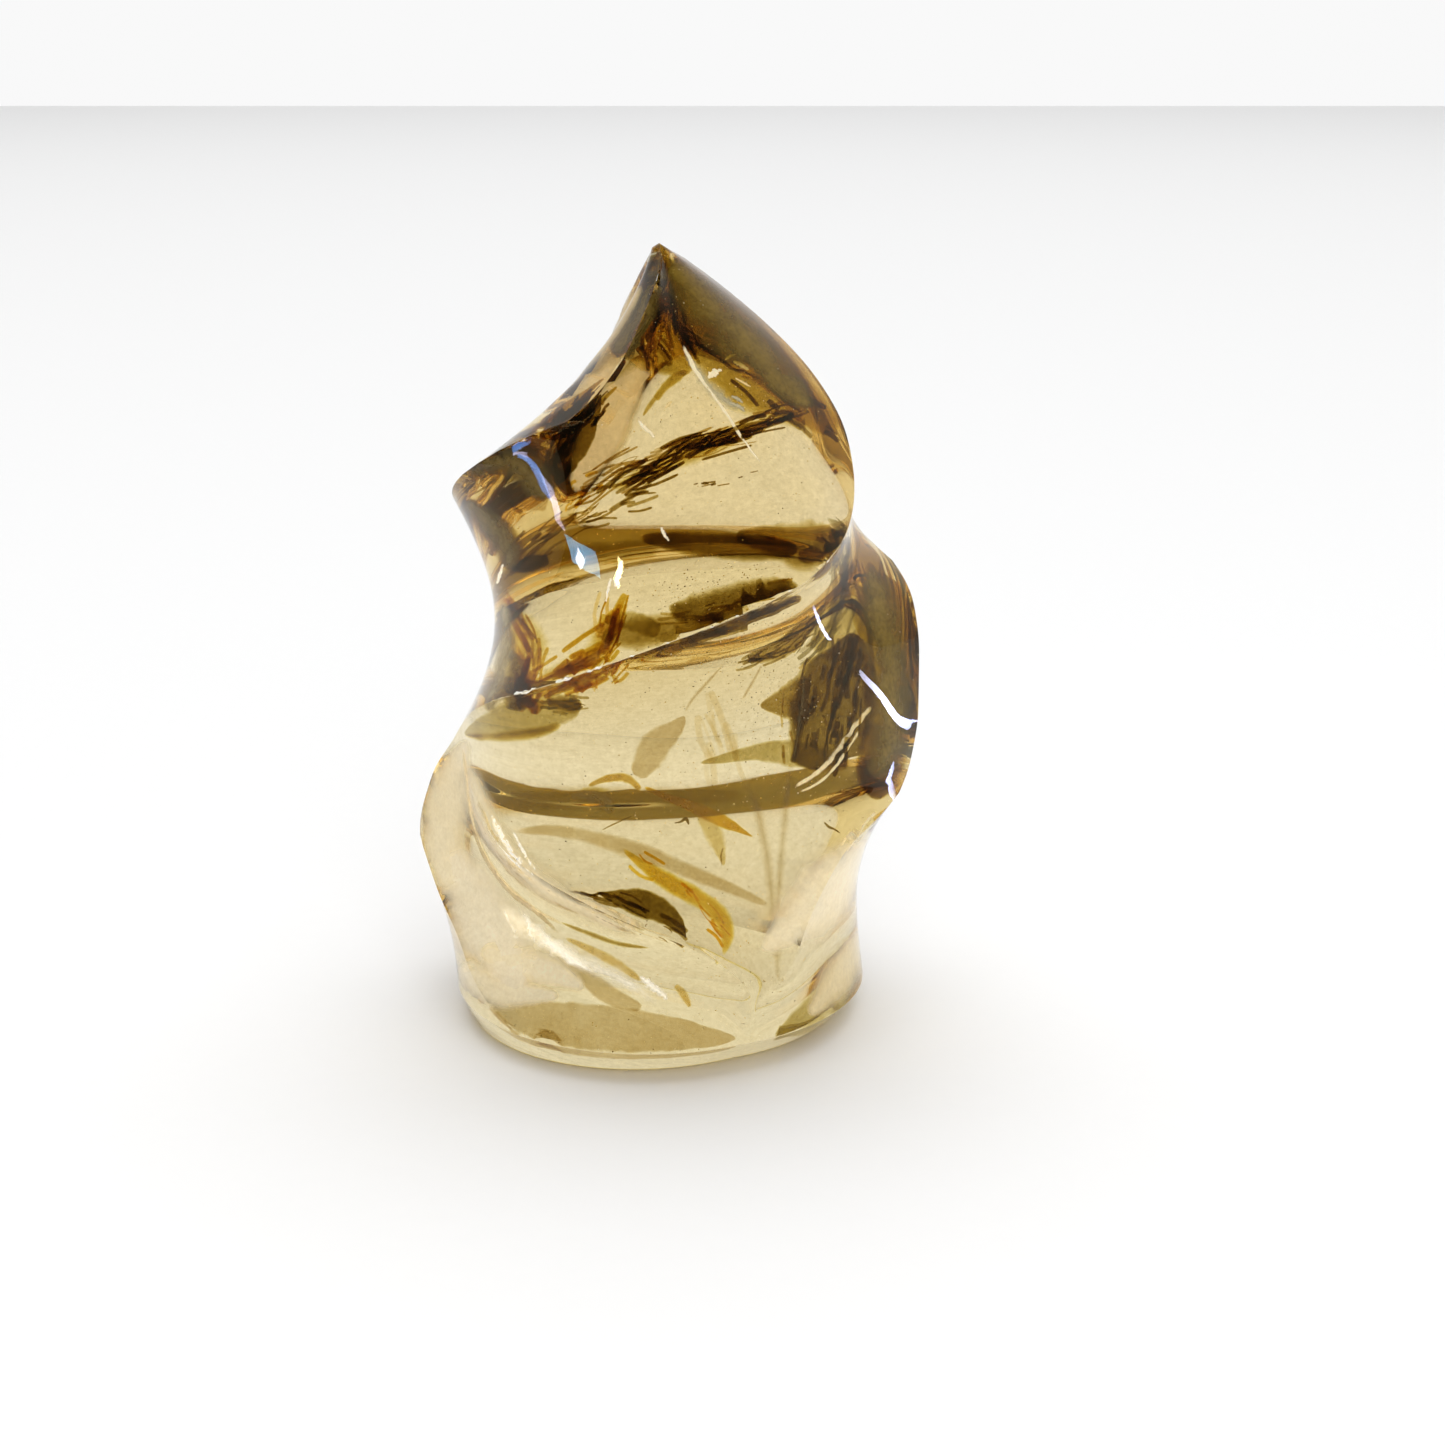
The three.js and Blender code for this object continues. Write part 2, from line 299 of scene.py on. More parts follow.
SMOKE_AND_SHADE_ZONES = {
    # name: (tint, softness, depth, thickness, line)
    "upper_band": (SMOKE_AND_SHADE, 0.5, 5, 1.2, [(640, 538, 5), (672, 541, 11), (712, 545, 15), (748, 548, 16),
        (782, 549, 12), (800, 550, 4)]),
    "upper_band_end": (BROWN, 0.5, 3, 1.2, [(735, 536, 6), (770, 541, 18), (798, 546, 28), (822, 545, 26),
        (838, 538, 16), (843, 532, 6)]),
    "upper_band_knot": (BROWN, 0.5, 5, 0.8, [(798, 556, 5), (808, 556, 10), (818, 554, 8), (824, 552, 3)]),
    "upper_band_left": (OLIVE, 0.7, 4, 1.0, [(505, 570, 6), (535, 562, 13), (575, 556, 14), (620, 552, 14),
        (660, 548, 9)]),
    "band_bit": (SMOKE_AND_SHADE, 0.4, 4, 0.8, [(512, 570, 3), (524, 566, 8), (538, 562, 9), (549, 560, 4)]),
    "veil_body": (OCHRE, 1.0, 5, 0.8, [(610, 490, 4), (636, 478, 9), (668, 462, 13), (704, 446, 15),
        (740, 432, 12), (784, 417, 4)]),
    "second_band": (SMOKE_AND_SHADE, 0.7, 5, 1.2, [(668, 606, 4), (684, 611, 15), (708, 609, 21), (734, 601, 22),
        (760, 593, 19), (786, 587, 11), (799, 586, 4)]),
    "second_band_tail": (BROWN, 0.7, 4, 1.0, [(600, 640, 6), (622, 634, 18), (650, 630, 19), (680, 628, 16),
        (706, 622, 12), (728, 614, 5)]),
    "second_band_knee": (OLIVE, 0.4, 4, 0.8, [(604, 620, 5), (622, 620, 10), (642, 624, 12),
        (660, 632, 8)]),
    "dark_blade": (SMOKE_AND_SHADE, 0.12, 4, 0.8, [(601, 394, 1), (594, 408, 8), (580, 430, 17), (566, 452, 19),
        (554, 474, 13), (545, 490, 4)]),
    "blade_edge": (OCHRE, 0.3, 4, 0.6, [(604, 378, 1), (590, 390, 3), (568, 408, 7), (546, 428, 10),
        (530, 442, 10), (512, 452, 6)]),
    "left_corner": (OLIVE, 0.5, 4, 1.0, [(468, 475, 4), (483, 466, 11), (504, 457, 17), (526, 458, 20),
        (544, 474, 20), (550, 498, 12)]),
    "left_corner_dark": (BROWN, 0.7, 5, 1.0, [(490, 446, 4), (508, 448, 9), (526, 455, 12), (540, 468, 12),
        (546, 486, 8)]),
    "left_corner_low": (OCHRE, 0.7, 4, 1.0, [(462, 500, 6), (478, 516, 14), (500, 532, 17), (514, 550, 16),
        (512, 572, 9)]),
    "left_corner_lobe": (TAN, 0.3, 5, 0.8, [(496, 492, 4), (512, 496, 11), (530, 500, 12), (548, 506, 7)]),
    "tip_heart": (OCHRE, 0.4, 6, 2.0, [(664, 276, 5), (661, 294, 20), (658, 318, 36), (662, 340, 40),
        (676, 358, 26), (692, 372, 8)]),
    "tip_shoulder": (OCHRE, 0.5, 7, 2.0, [(680, 316, 10), (710, 344, 32), (742, 370, 40), (776, 392, 32),
        (808, 410, 24), (840, 430, 10)]),
    "tip_left": (OLIVE, 0.7, 4, 1.5, [(650, 272, 6), (632, 306, 20), (616, 336, 24), (596, 360, 15),
        (572, 380, 5)]),
    "tip_gold": (OLIVE, 0.8, 5, 1.0, [(666, 252, 5), (690, 276, 14), (720, 302, 20), (752, 328, 18),
        (786, 362, 14), (812, 392, 8)]),
    "olive_lens": (OLIVE, 0.35, 3, 0.8, [(464, 734, 3), (486, 726, 13), (512, 719, 20), (542, 713, 21),
        (568, 707, 15), (582, 702, 4)]),
    "olive_lens_edge": (OCHRE, 0.9, 4, 0.6, [(464, 735, 2), (484, 737, 5), (512, 736, 7), (540, 732, 7),
        (562, 724, 4)]),
    "olive_lens_top": (BROWN, 0.8, 4, 0.6, [(545, 700, 3), (560, 704, 9), (574, 706, 10), (582, 704, 3)]),
    "right_body": (SMOKE_AND_SHADE, 0.22, 5, 2.0, [(852, 632, 6), (850, 656, 26), (840, 684, 42), (832, 712, 46),
        (828, 738, 42), (828, 758, 38), (830, 767, 22)]),
    "right_flank": (OCHRE, 0.3, 5, 2.0, [(880, 572, 8), (882, 600, 28), (886, 640, 34), (890, 680, 30),
        (888, 720, 28), (882, 752, 28), (878, 784, 22), (876, 800, 8)]),
    "right_flank_low": (BROWN, 0.5, 6, 1.2, [(868, 724, 8), (876, 742, 22), (878, 768, 24), (876, 790, 16),
        (874, 800, 6)]),
    "right_wedge": (BROWN, 0.35, 6, 1.0, [(760, 706, 2), (776, 704, 13), (794, 702, 24), (808, 704, 34)]),
    "right_fan": (OLIVE, 0.7, 4, 1.2, [(852, 560, 4), (850, 584, 16), (846, 610, 28), (836, 638, 30),
        (822, 660, 16)]),
    "grass_lens": (BROWN, 0.45, 4, 0.6, [(746, 661, 2), (765, 655, 9), (786, 645, 11), (803, 631, 9),
        (818, 616, 4)]),
    "low_band_wedge": (OLIVE, 0.35, 6, 0.8, [(700, 763, 2), (732, 757, 6), (762, 752, 10), (792, 754, 15),
        (822, 760, 14), (850, 762, 10)]),
    "low_band_left": (PALE, 0.6, 5, 1.0, [(476, 812, 5), (500, 806, 13), (540, 800, 15), (580, 798, 14),
        (630, 796, 12), (690, 796, 10), (745, 796, 8)]),
    "paddle": (TAN, 0.3, 5, 0.8, [(638, 778, 7), (648, 758, 16), (660, 741, 16), (676, 727, 9),
        (685, 716, 2)]),
    "fish_tail": (TAN, 0.6, 7, 0.8, [(512, 832, 3), (548, 830, 7), (590, 837, 9), (640, 852, 11),
        (690, 872, 9), (732, 889, 7), (770, 906, 4)]),
    "dark_leaf": (SMOKE_AND_SHADE, 0.3, 4, 0.8, [(596, 892, 1), (606, 895, 4), (620, 898, 10), (640, 903, 15),
        (658, 909, 14), (670, 917, 11), (680, 928, 6), (686, 938, 1)]),
    "speck_left": (SMOKE_AND_SHADE, 0.6, 3, 0.3, [(674, 823, 0.5), (680, 822, 1.2), (686, 819, 2.2),
        (689, 825, 0.8)]),
    "speck_right": (SMOKE_AND_SHADE, 0.6, 3, 0.3, [(824, 822, 0.8), (829, 827, 1.8), (834, 829, 1.2),
        (840, 833, 0.6)]),
    "speck_line": (BROWN, 0.8, 3, 0.3, [(602, 830, 0.5), (614, 824, 0.9), (634, 815, 0.5)]),
    "speck_tail": (BROWN, 0.8, 3, 0.3, [(723, 848, 0.5), (721, 856, 1.2), (722, 866, 0.5)]),
    # Painted shade: the shade of the floor beneath the stone, seen through the foot.
    "foot_lens": (TAN, 0.15, 3, 1.0, [(491, 1003, 3), (518, 1015, 16), (560, 1024, 24), (608, 1028, 25),
        (656, 1032, 20), (700, 1037, 12), (736, 1038, 4)]),
    "foot_shoot": (TAN, 0.3, 4, 0.8, [(545, 950, 1), (560, 961, 4), (580, 973, 7), (598, 987, 11),
        (616, 999, 10), (642, 1008, 5)]),
    "foot_right": (OLIVE, 0.4, 3, 1.0, [(775, 1036, 3), (800, 1022, 14), (824, 1003, 20), (844, 987, 18),
        (857, 972, 8), (861, 962, 2)]),
}

IRON_STAINS = {
    "neck_stain": ((0.62, 0.42, 0.04), 1.4, 4, 0.6, [(506, 612, 7), (524, 624, 15), (532, 646, 19),
        (524, 670, 20), (512, 690, 12)]),
    "neck_stain_edge": ((0.30, 0.20, 0.02), 0.7, 5, 0.6, [(508, 650, 4), (516, 664, 9), (514, 680, 12),
        (508, 694, 7)]),
    "neck_stain_fork": ((0.66, 0.45, 0.05), 1.4, 4, 0.6, [(620, 614, 7), (605, 630, 14), (600, 648, 17),
        (586, 662, 15), (562, 672, 13), (536, 683, 8)]),
    "spear": ((0.80, 0.48, 0.02), 0.4, 5, 0.5, [(644, 787, 2), (664, 796, 4), (688, 805, 6), (706, 813, 8),
        (725, 822, 7), (742, 831, 3), (753, 837, 1)]),
    "spear_drop": ((0.92, 0.78, 0.35), 0.6, 5, 0.4, [(700, 815, 6), (714, 834, 11), (721, 853, 6),
        (724, 866, 1)]),
    "band_stain": ((0.62, 0.45, 0.06), 0.8, 4, 0.5, [(570, 797, 4), (590, 796, 11), (604, 801, 13),
        (612, 815, 4)]),
    "band_stain_edge": ((0.75, 0.50, 0.08), 0.6, 4, 0.4, [(588, 786, 2), (606, 779, 4), (626, 778, 5),
        (641, 790, 3)]),
    "sheet": ((0.86, 0.56, 0.03), 0.7, 6, 0.6, [(622, 848, 2), (640, 863, 6), (662, 878, 10),
        (688, 893, 11), (710, 906, 11), (723, 921, 11), (727, 938, 8), (723, 957, 2)]),
    "flank_streak": ((0.93, 0.74, 0.30), 0.7, 3, 0.4, [(565, 938, 2), (585, 947, 4), (609, 959, 6),
        (628, 971, 5), (641, 981, 2)]),
    "flank_drop": ((0.93, 0.72, 0.25), 0.7, 3, 0.4, [(675, 985, 3), (684, 995, 5), (690, 1007, 2)]),
    "tip_bit": ((0.62, 0.42, 0.04), 0.6, 4, 0.4, [(655, 400, 4), (665, 387, 5), (677, 377, 6),
        (687, 371, 2)]),
    "tip_bit_tail": ((0.66, 0.48, 0.10), 0.8, 4, 0.4, [(643, 416, 1), (648, 408, 3), (655, 398, 3)]),
}

# Fine bodies that lie by the dozen along a line: how many, their tint, how far they stray, their
# longest and half-width in parts of the view, then the line.
FIBRES = {
    "veil_core": (46, (0.24, 0.15, 0.025), 14, 66, 3.2, [(618, 486), (650, 470), (690, 452), (735, 434),
        (784, 416)]),
    "veil_streaks": (46, (0.58, 0.43, 0.16), 20, 56, 2.4, [(575, 505), (640, 470), (690, 448), (740, 430),
        (784, 416)]),
    "veil_gold": (14, (0.74, 0.48, 0.05), 12, 18, 3.4, [(566, 512), (582, 492), (600, 480)]),
    "veil_foot": (34, (0.40, 0.29, 0.08), 12, 46, 2.6, [(512, 566), (548, 536), (590, 512), (650, 496)]),
    "veil_top": (16, (0.62, 0.50, 0.26), 10, 50, 2.2, [(585, 482), (620, 466), (664, 448)]),
    "veil_flecks": (9, (0.34, 0.24, 0.08), 6, 14, 2.2, [(694, 486), (724, 480), (758, 470)]),
    "blade_grain": (24, (0.22, 0.14, 0.03), 14, 26, 3.0, [(600, 398), (578, 432), (556, 472)]),
    "corner_grain": (26, (0.56, 0.44, 0.16), 26, 40, 4.0, [(470, 470), (505, 458), (545, 486)]),
    "tip_grain": (44, (0.42, 0.31, 0.07), 34, 40, 4.5, [(660, 270), (668, 320), (684, 356)]),
    "tip_flakes": (40, (0.66, 0.52, 0.18), 30, 26, 3.0, [(664, 270), (700, 310), (760, 362)]),
    "shoulder_grain": (40, (0.32, 0.23, 0.05), 30, 44, 4.0, [(690, 330), (744, 366), (800, 402),
        (838, 430)]),
    "second_grain": (16, (0.58, 0.44, 0.14), 12, 34, 3.0, [(670, 618), (712, 612), (756, 596), (794, 588)]),
    "grass": (30, (0.40, 0.31, 0.10), 9, 30, 2.0, [(748, 662), (776, 652), (800, 638), (818, 616)]),
    "fan": (40, (0.60, 0.56, 0.40), 20, 80, 3.4, [(851, 545), (846, 585), (832, 625), (812, 652)]),
    "fan_right": (24, (0.56, 0.46, 0.18), 20, 70, 4.0, [(856, 545), (868, 585), (878, 625), (884, 665)]),
    "body_grain": (44, (0.34, 0.24, 0.05), 38, 46, 4.5, [(848, 650), (836, 700), (826, 760)]),
    "body_gold": (40, (0.70, 0.56, 0.22), 34, 20, 2.0, [(846, 660), (806, 700), (812, 756)]),
    "drapery": (10, (0.92, 0.87, 0.74), 26, 70, 5.0, [(700, 700), (712, 740), (722, 780)]),
    "neck_left": (26, (0.66, 0.44, 0.04), 17, 60, 5.0, [(510, 616), (528, 650), (516, 690)]),
    "neck_right": (30, (0.68, 0.46, 0.05), 18, 56, 5.0, [(618, 614), (600, 650), (548, 680)]),
    "neck_upright": (7, (0.88, 0.72, 0.34), 26, 60, 4.0, [(606, 600), (596, 640), (590, 680)]),
    "leaf_grain": (14, (0.30, 0.20, 0.04), 8, 36, 3.0, [(582, 892), (630, 902), (682, 934)]),
    "lens_grain": (18, (0.50, 0.42, 0.18), 9, 26, 2.4, [(540, 704), (560, 706), (580, 706)]),
    "sheet_grain": (14, (0.84, 0.52, 0.03), 8, 30, 2.6, [(640, 864), (688, 892), (724, 936)]),
}

WHITE = (1.0, 0.98, 0.92)
CREAM = (0.90, 0.80, 0.55)
GREY = (0.62, 0.62, 0.56)

# Silvery cracks and flakes with a painted glow, and among them painted highlights and glints: the tip
# glints, the sparkles, dab_one, the dash, the neck spark and dash, the bright blotch and glare of the left
# flank, the flank gleams and the glare at the blotch's tail.
CRACKS_AND_GLINTS = {
    "long_crack": (WHITE, 0.4, 3, 0.2, [(683, 345, 1.6), (690, 360, 2.2), (697, 373, 2.4), (708, 388, 1.4),
        (724, 410, 2.0), (738, 432, 1.5), (750, 449, 1.0), (761, 463, 0.5)]),
    "crack_haze": (GREY, 1.6, 3.3, 0.3, [(684, 352, 2), (698, 372, 6), (712, 390, 9), (728, 402, 6),
        (740, 412, 3)]),
    "mirror_flake": (WHITE, 0.2, 3, 0.3, [(708, 378, 1.2), (713, 374, 3.6), (718, 371, 2.2),
        (722, 370, 1.4)]),
    "flake_right": (CREAM, 0.8, 3, 0.3, [(733, 361, 1.4), (741, 365, 3), (749, 370, 1)]),
    "flake_low": (GREY, 1.0, 3, 0.3, [(731, 396, 1), (738, 399, 2.6), (743, 403, 1)]),
    "flake_up": (CREAM, 0.9, 3, 0.3, [(725, 360, 1), (730, 356, 2.2), (735, 355, 1)]),
    "flake_line": (CREAM, 0.8, 3, 0.3, [(735, 378, 1), (744, 383, 1.6), (751, 387, 0.8)]),
    "sparkle_wedge": (GREY, 0.9, 3, 0.3, [(728, 402, 1), (740, 407, 3), (745, 412, 1.6)]),
    "tip_glint_left": (GREY, 0.9, 2, 0.2, [(647, 262, 2), (651, 257, 3.4), (655, 253, 1.5)]),
    "tip_glint_right": (CREAM, 0.7, 2, 0.2, [(671, 253, 1.2), (672, 258, 2.4), (674, 263, 1)]),
    "left_sparkle": (CREAM, 0.6, 3, 0.2, [(632, 292, 1.5), (635, 289, 2.6), (638, 287, 1)]),
    "dash": (WHITE, 0.3, 2, 0.2, [(661, 527, 1), (664, 534, 2), (669, 541, 0.8)]),
    "dab_one": (WHITE, 0.7, 3, 0.2, [(638, 420, 1), (644, 427, 2.6), (651, 433, 2.2), (654, 438, 1)]),
    "dab_two": (CREAM, 0.7, 3, 0.2, [(665, 408, 1), (669, 404, 2.4), (672, 401, 1)]),
    "neck_spark": (WHITE, 0.25, 1, 0.2, [(622, 560, 1), (619, 573, 3.4), (615, 587, 1.4)]),
    "neck_dash": (WHITE, 0.3, 1, 0.2, [(611, 578, 0.8), (608, 590, 1.7), (606, 602, 0.8)]),
    "edge_spark": (WHITE, 0.4, 1, 0.2, [(503, 564, 0.8), (500, 574, 2.0), (497, 584, 1)]),
    "gold_streak": (CREAM, 0.5, 4, 0.4, [(795, 787, 2), (812, 776, 2.4), (828, 763, 2.6), (842, 744, 2.6),
        (857, 724, 2.6), (872, 706, 2)]),
    "gold_streak_low": (CREAM, 0.5, 4, 0.4, [(800, 792, 1.2), (820, 782, 1.4), (836, 766, 1.6),
        (848, 748, 1.6), (860, 730, 1.2)]),
    "needle": (CREAM, 0.5, 3, 0.3, [(876, 812, 1.8), (866, 822, 1.4), (858, 836, 0.9), (846, 853, 0.6)]),
    "blotch": (WHITE, 2.0, 3, 0.8, [(512, 915, 3), (535, 934, 9), (570, 956, 13), (606, 972, 12),
        (640, 990, 9), (660, 1008, 4)]),
    "flank_snow": (WHITE, 1.2, 1, 0.3, [(498, 904, 4), (512, 917, 13), (530, 931, 15), (548, 944, 11),
        (572, 960, 7), (596, 974, 3)]),
    "flank_gleam": (WHITE, 0.5, 0.5, 0.1, [(491, 814, 1), (498, 828, 3), (505, 842, 3.4), (514, 856, 2),
        (522, 865, 1)]),
    "flank_gleam_thin": (WHITE, 0.4, 0.5, 0.1, [(513, 832, 0.8), (521, 847, 1.8), (528, 860, 1.6),
        (536, 870, 0.6)]),
    "chip_patch": (WHITE, 1.2, 1, 0.4, [(640, 976, 2), (650, 985, 6), (660, 992, 5), (668, 1000, 2)]),
}

# Painted light: pale and tan streaks down the ridge of the left flank, standing in for the light and shade
# that the fluted flank refracts there.
FLANK_LIGHT_LINES = {
    "ridge_outer": (CREAM, 1.2, 1, 0.2, [(462, 744, 0.8), (467, 780, 1.8), (474, 826, 2.4), (496, 872, 3),
        (530, 906, 3), (566, 926, 2)]),
    "ridge_inner": (TAN, 1.2, 1, 0.2, [(476, 800, 1), (488, 836, 3), (508, 868, 4), (542, 896, 4),
        (590, 916, 3), (640, 936, 1.5)]),
    "ridge_tan": (TAN, 1.2, 1, 0.2, [(470, 822, 1), (484, 856, 2.6), (508, 890, 3), (536, 912, 3),
        (560, 934, 2)]),
    "ridge_cream": (CREAM, 1.2, 1, 0.2, [(480, 800, 0.8), (494, 838, 2), (516, 868, 2.4), (556, 896, 2.4),
        (612, 918, 2), (680, 940, 1)]),
    "ridge_low": (OCHRE, 1.6, 1, 0.2, [(560, 922, 1), (590, 934, 3), (620, 944, 3), (650, 948, 1)]),
}

# Milky veils: paler than what is behind them in the dark, darker before the light.
MILKY_VEILS = {
    "veil_left": (TAN, 1.6, 4, 0.5, [(742, 776, 4), (756, 806, 7), (766, 850, 8), (772, 900, 7),
        (777, 950, 6), (778, 992, 3)]),
    "veil_right": (TAN, 1.6, 4, 0.5, [(790, 764, 4), (786, 806, 6), (781, 860, 6), (778, 905, 5),
        (778, 930, 3)]),
    "veil_arc": (TAN, 1.4, 4, 0.4, [(780, 903, 1.5), (800, 906, 2.4), (824, 903, 2.4), (848, 896, 1.2)]),
    "veil_line": (OLIVE, 1.2, 4, 0.3, [(803, 668, 1), (803, 694, 2.2), (799, 726, 2.4), (793, 762, 1.2)]),
    "veil_drape": (TAN, 1.4, 5, 0.4, [(685, 712, 1), (692, 700, 2.4), (706, 684, 2.2), (724, 664, 1)]),
    "veil_drape_right": (TAN, 1.4, 5, 0.4, [(742, 700, 1), (748, 690, 2.2), (756, 676, 2), (762, 664, 1)]),
}


# Golden-brown clouds in the smokiest places, with a painted glow standing in for the light they catch.
GOLDEN_CLOUDS = {
    "tip_cloud": ((0.30, 0.21, 0.02), 1.0, 2, 0.6, [(665, 254, 5), (690, 285, 26), (722, 318, 34),
        (756, 350, 30), (792, 388, 20), (816, 408, 8)]),
    "tip_cloud_left": ((0.22, 0.155, 0.03), 1.0, 2, 0.6, [(660, 268, 4), (650, 300, 12), (634, 330, 14),
        (612, 354, 8)]),
    "corner_cloud": ((0.24, 0.165, 0.04), 1.0, 2, 0.6, [(470, 474, 6), (498, 462, 16), (528, 470, 20),
        (548, 500, 14)]),
    "corner_cloud_low": ((0.26, 0.185, 0.05), 1.0, 2, 0.6, [(466, 500, 6), (486, 520, 14), (506, 545, 16),
        (510, 570, 8)]),
    "neck_cloud": ((0.50, 0.42, 0.22), 1.2, 2, 0.6, [(502, 600, 5), (506, 628, 11), (505, 656, 12),
        (497, 684, 10), (486, 704, 4)]),
    "flank_cloud": ((0.32, 0.22, 0.02), 1.0, 2, 0.6, [(866, 562, 6), (878, 594, 20), (886, 640, 28),
        (892, 690, 24), (888, 735, 24), (880, 782, 16)]),
}


# Painted light: pale patches low in the flanks, by the tip and beside the smoky blade, standing in for the
# white surroundings that these parts refract and throw back.
PAINTED_LIGHT_CLOUDS = {
    "blade_window": ((0.80, 0.68, 0.43), 0.5, 8, 0.5, [(640, 344, 6), (628, 374, 20), (614, 406, 26),
        (600, 438, 26), (586, 468, 18), (574, 492, 6)]),
    "tip_side": ((0.62, 0.51, 0.28), 1.0, 2, 0.5, [(642, 284, 4), (626, 308, 11), (608, 334, 14),
        (588, 358, 11), (564, 380, 4)]),
    "left_shoulder": ((0.82, 0.75, 0.57), 0.9, 2, 0.5, [(468, 738, 5), (455, 766, 20), (446, 798, 32),
        (442, 832, 34), (446, 864, 28), (454, 892, 12)]),
    "left_flank": ((0.83, 0.77, 0.62), 0.9, 2, 0.5, [(446, 846, 12), (466, 882, 40), (484, 920, 54),
        (500, 952, 52), (512, 978, 32), (520, 998, 8)]),
    "left_foot": ((0.82, 0.75, 0.57), 0.9, 2, 0.5, [(478, 950, 10), (506, 960, 24), (540, 968, 24),
        (568, 980, 14), (586, 990, 5)]),
    "left_toe": ((0.82, 0.75, 0.57), 0.8, 2, 0.5, [(462, 960, 12), (478, 980, 24), (500, 992, 22),
        (530, 994, 14), (560, 996, 5)]),
    "crest": ((0.83, 0.76, 0.57), 1.2, 2, 0.5, [(468, 758, 6), (480, 802, 16), (502, 846, 20),
        (540, 884, 20), (588, 912, 16), (640, 938, 8)]),
    "right_flank": ((0.88, 0.81, 0.63), 0.9, 2, 0.5, [(876, 836, 10), (856, 862, 34), (832, 886, 46),
        (806, 912, 42), (780, 936, 24), (758, 952, 6)]),
    "right_foot": ((0.76, 0.66, 0.42), 0.9, 2, 0.5, [(862, 928, 8), (854, 952, 20), (838, 978, 24),
        (820, 1002, 14), (808, 1016, 5)]),
}


class Sight:
    """Follows sight lines of the front view into the stone."""

    def __init__(self, stone, ior):
        points = [v.co.copy() for v in stone.data.vertices]
        self.tree = BVHTree.FromPolygons(points, [p.vertices[:] for p in stone.data.polygons])
        self.bend = 1 / ior

    def ray(self, across, down):
        sideways = VIEW_RIGHT * ((across - VIEW_PARTS / 2) / FOCAL)
        upward = VIEW_UP * ((VIEW_PARTS / 2 - down) / FOCAL)
        return (VIEW_FORWARD + sideways + upward).normalized()

    def meet(self, across, down):
        """Where the sight line enters the stone, its course inside and the way to the far side."""
        course = self.ray(across, down)
        place, normal, _, _ = self.tree.ray_cast(CAMERA_AT, course)
        if place is None:
            return None
        if normal.dot(course) > 0:
            normal = -normal
        facing = -course.dot(normal)
        root = math.sqrt(1 - self.bend ** 2 * (1 - facing ** 2))
        inside = (course * self.bend + normal * (self.bend * facing - root)).normalized()
        far = self.tree.ray_cast(place + inside * 5e-5, inside)[3]
        return place, inside, far or 0.002

    def mirror(self, across, down):
        """Where the sight line meets the polish, and where it is thrown."""
        course = self.ray(across, down)
        place, normal, _, _ = self.tree.ray_cast(CAMERA_AT, course)
        return place, course - 2 * course.dot(normal) * normal

    def crest(self, across, down, reach=16):
        """The sharpest turn of the polish near a point of the front view, straight above or below it."""
        normals = []
        for step in range(-reach, reach + 1):
            normal = self.tree.ray_cast(CAMERA_AT, self.ray(across, down + step))[1]
            normals.append(normal or Vector((0, 0, 0)))
        turns = [a.dot(b) if a.length and b.length else 2.0 for a, b in zip(normals, normals[2:])]
        return down - reach + 1 + turns.index(min(turns))

    def within(self, centre, offset, depth):
        """The point depth metres in, on the sight line at centre + offset, drawn in to the stone.

        A negative depth is a hair in front of the polish."""
        across, down = centre[0] + offset[0], centre[1] + offset[1]
        if depth < 0:
            return self.mirror(across, down)[0] + self.ray(across, down) * depth
        for _ in range(60):
            met = self.meet(across, down)
            if met:
                place, inside, far = met
                return place + inside * max(min(depth, far * 0.9), far * 0.05)
            inward = Vector((HEART[0] - across, HEART[1] - down)).normalized() * 1.5
            across, down = across + inward.x, down + inward.y
        raise RuntimeError(f"the sight line at {centre} misses the stone")


def smooth_line(points, share_along):
    """A point of the smooth line through points, and its direction."""
    steps = [math.dist(a[:2], b[:2]) for a, b in zip(points, points[1:])]
    along = share_along * sum(steps)
    index = 0
    while index < len(steps) - 1 and along > steps[index]:
        along -= steps[index]
        index += 1
    t = min(along / steps[index], 1.0)
    before = points[max(index - 1, 0)]
    after = points[min(index + 2, len(points) - 1)]
    here, there = points[index], points[index + 1]
    place, heading = [], []
    for p, a, b, q in zip(before, here, there, after):
        leave, arrive = (b - p) / 2, (q - a) / 2
        place.append((2 * t ** 3 - 3 * t ** 2 + 1) * a + (t ** 3 - 2 * t ** 2 + t) * leave
                     + (3 * t ** 2 - 2 * t ** 3) * b + (t ** 3 - t ** 2) * arrive)
        heading.append((6 * t ** 2 - 6 * t) * (a - b) + (3 * t ** 2 - 4 * t + 1) * leave
                       + (3 * t ** 2 - 2 * t) * arrive)
    return place, heading


def pattern(segments, rings):
    """A sphere for the bodies to be copied from."""
    bpy.ops.object.select_all(action="DESELECT")
    bpy.ops.mesh.primitive_uv_sphere_add(segments=segments, ring_count=rings, radius=1)
    return bpy.context.object


